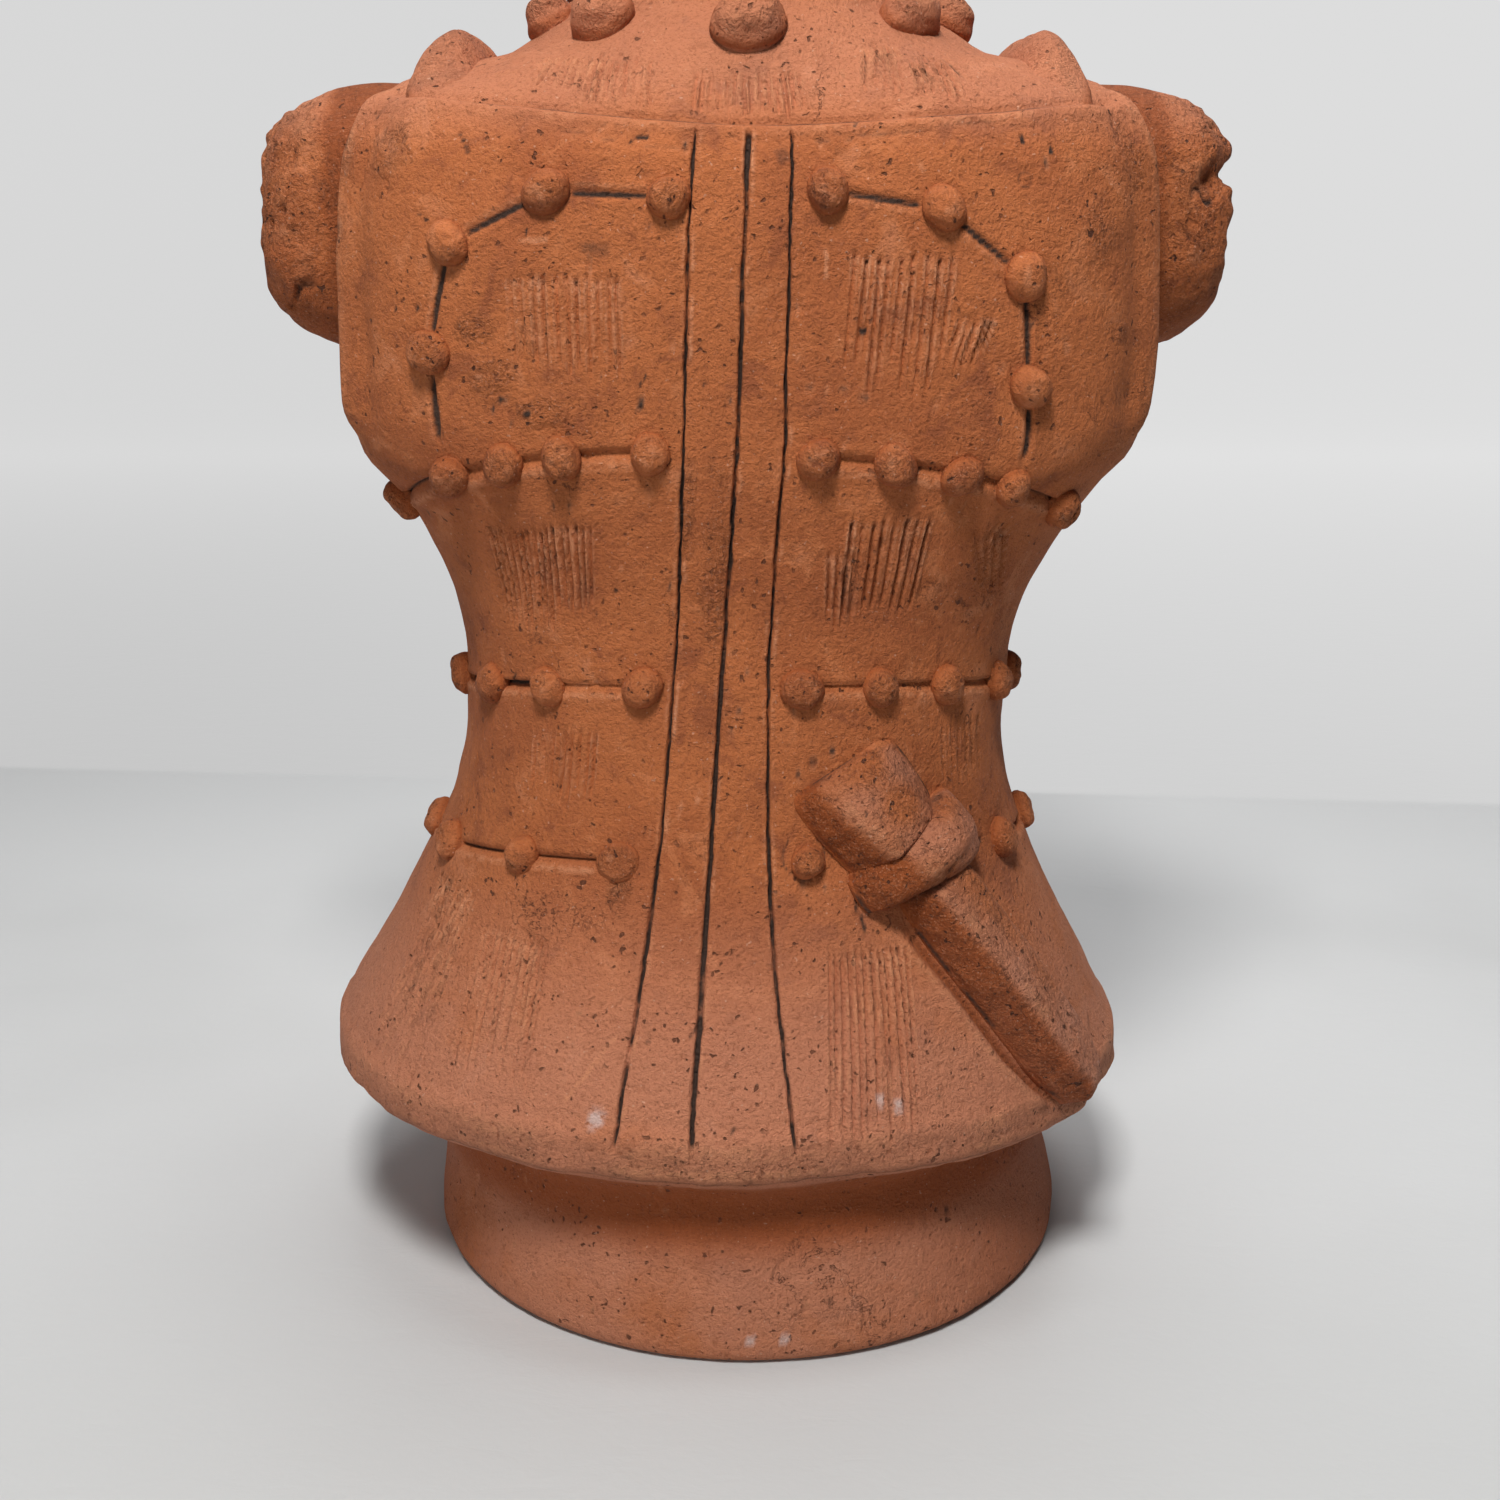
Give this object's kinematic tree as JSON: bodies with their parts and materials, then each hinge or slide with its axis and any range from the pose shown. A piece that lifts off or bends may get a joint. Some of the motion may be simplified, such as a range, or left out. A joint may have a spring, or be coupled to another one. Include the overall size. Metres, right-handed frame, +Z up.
{
  "type": "haniwa figure",
  "caption": "Hollow terracotta half figure of a man in laced armour on a round foot, with broken arm stubs, bead necklace and a dagger on the skirt.",
  "frame": {"origin": "on the surface it stands on, under the middle of the figure's box", "axes": "+Z up through the crown of the cap, -Y out of the figure's front, +X towards its left arm"},
  "size_m": [0.311, 0.24, 0.591],
  "materials": {
    "terracotta": "unglazed fired clay, orange brown, matt, soot in the cuts and pits"
  },
  "bodies": {
    "root": {"haniwa_figure": "terracotta"}
  },
  "joints": []
}
